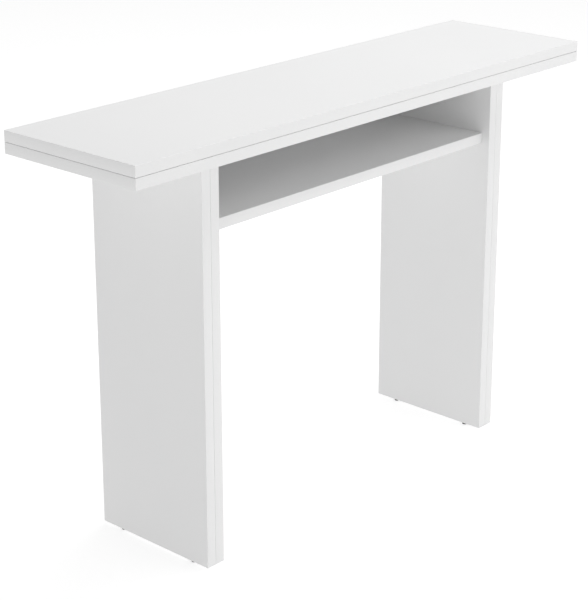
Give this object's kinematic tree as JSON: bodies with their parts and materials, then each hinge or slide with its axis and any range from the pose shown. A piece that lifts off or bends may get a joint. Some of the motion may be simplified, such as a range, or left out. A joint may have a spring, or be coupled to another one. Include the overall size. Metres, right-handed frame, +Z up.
{
  "type": "console table",
  "caption": "White console table on two broad double panel legs, with a recessed shelf and a top that folds open backwards onto the swung-out leg boards.",
  "frame": {"origin": "on the floor, at the middle of the closed table's box", "axes": "+Z up; +X along the table to the right of a person facing its front; the front faces -Y"},
  "size_m": [1.15, 0.3032, 0.7527],
  "materials": {
    "white_melamine": "matt white melamine-faced chipboard with a matching edge band",
    "plated_steel": "nickel-plated pressed steel",
    "cast_zinc": "raw die-cast zinc",
    "black_plastic": "moulded black polyethylene",
    "clear_pvc": "soft clear vinyl"
  },
  "bodies": {
    "frame": {"fixed_top": "white_melamine", "left_inner_leg": "white_melamine", "right_inner_leg": "white_melamine", "shelf": "white_melamine", "back_panel": "white_melamine", "leaf_hinge_1_fixed_plate": "plated_steel", "leaf_hinge_1_pin": "plated_steel", "leaf_hinge_2_fixed_plate": "plated_steel", "leaf_hinge_2_pin": "plated_steel", "leaf_hinge_3_fixed_plate": "plated_steel", "leaf_hinge_3_pin": "plated_steel", "left_gate_hinge_lower_fixed_plate": "plated_steel", "left_gate_hinge_lower_pin": "plated_steel", "left_gate_hinge_upper_fixed_plate": "plated_steel", "left_gate_hinge_upper_pin": "plated_steel", "right_gate_hinge_lower_fixed_plate": "plated_steel", "right_gate_hinge_lower_pin": "plated_steel", "right_gate_hinge_upper_fixed_plate": "plated_steel", "right_gate_hinge_upper_pin": "plated_steel", "left_top_front_cam": "cast_zinc", "left_top_front_bolt": "plated_steel", "left_top_back_cam": "cast_zinc", "left_top_back_bolt": "plated_steel", "left_shelf_front_cam": "cast_zinc", "left_shelf_front_bolt": "plated_steel", "left_shelf_back_cam": "cast_zinc", "left_shelf_back_bolt": "plated_steel", "left_back_cam": "cast_zinc", "left_back_bolt": "plated_steel", "left_inner_foot_front": "black_plastic", "left_inner_foot_back": "black_plastic", "left_slab_dot": "clear_pvc", "right_top_front_cam": "cast_zinc", "right_top_front_bolt": "plated_steel", "right_top_back_cam": "cast_zinc", "right_top_back_bolt": "plated_steel", "right_shelf_front_cam": "cast_zinc", "right_shelf_front_bolt": "plated_steel", "right_shelf_back_cam": "cast_zinc", "right_shelf_back_bolt": "plated_steel", "right_back_cam": "cast_zinc", "right_back_bolt": "plated_steel", "right_inner_foot_front": "black_plastic", "right_inner_foot_back": "black_plastic", "right_slab_dot": "clear_pvc"},
    "leaf": {"leaf_top": "white_melamine", "leaf_hinge_1_moving_plate": "plated_steel", "leaf_hinge_2_moving_plate": "plated_steel", "leaf_hinge_3_moving_plate": "plated_steel"},
    "left_gate": {"left_gate_leg": "white_melamine", "left_gate_hinge_lower_moving_plate": "plated_steel", "left_gate_hinge_upper_moving_plate": "plated_steel", "left_gate_foot_front": "black_plastic", "left_gate_foot_back": "black_plastic"},
    "right_gate": {"right_gate_leg": "white_melamine", "right_gate_hinge_lower_moving_plate": "plated_steel", "right_gate_hinge_upper_moving_plate": "plated_steel", "right_gate_foot_front": "black_plastic", "right_gate_foot_back": "black_plastic"}
  },
  "joints": [
    {"name": "leaf_fold", "type": "hinge", "parent": "frame", "child": "leaf", "pos_m": [0, 0.14865, 0.7334], "axis": [-1, 0, 0], "range_deg": [0, 180]},
    {"name": "left_gate_swing", "type": "hinge", "parent": "frame", "child": "left_gate", "pos_m": [-0.37785, 0.14865, 0.3595], "axis": [0, 0, -1], "range_deg": [0, 180]},
    {"name": "right_gate_swing", "type": "hinge", "parent": "frame", "child": "right_gate", "pos_m": [0.37785, 0.14865, 0.3595], "axis": [0, 0, 1], "range_deg": [0, 180]}
  ]
}
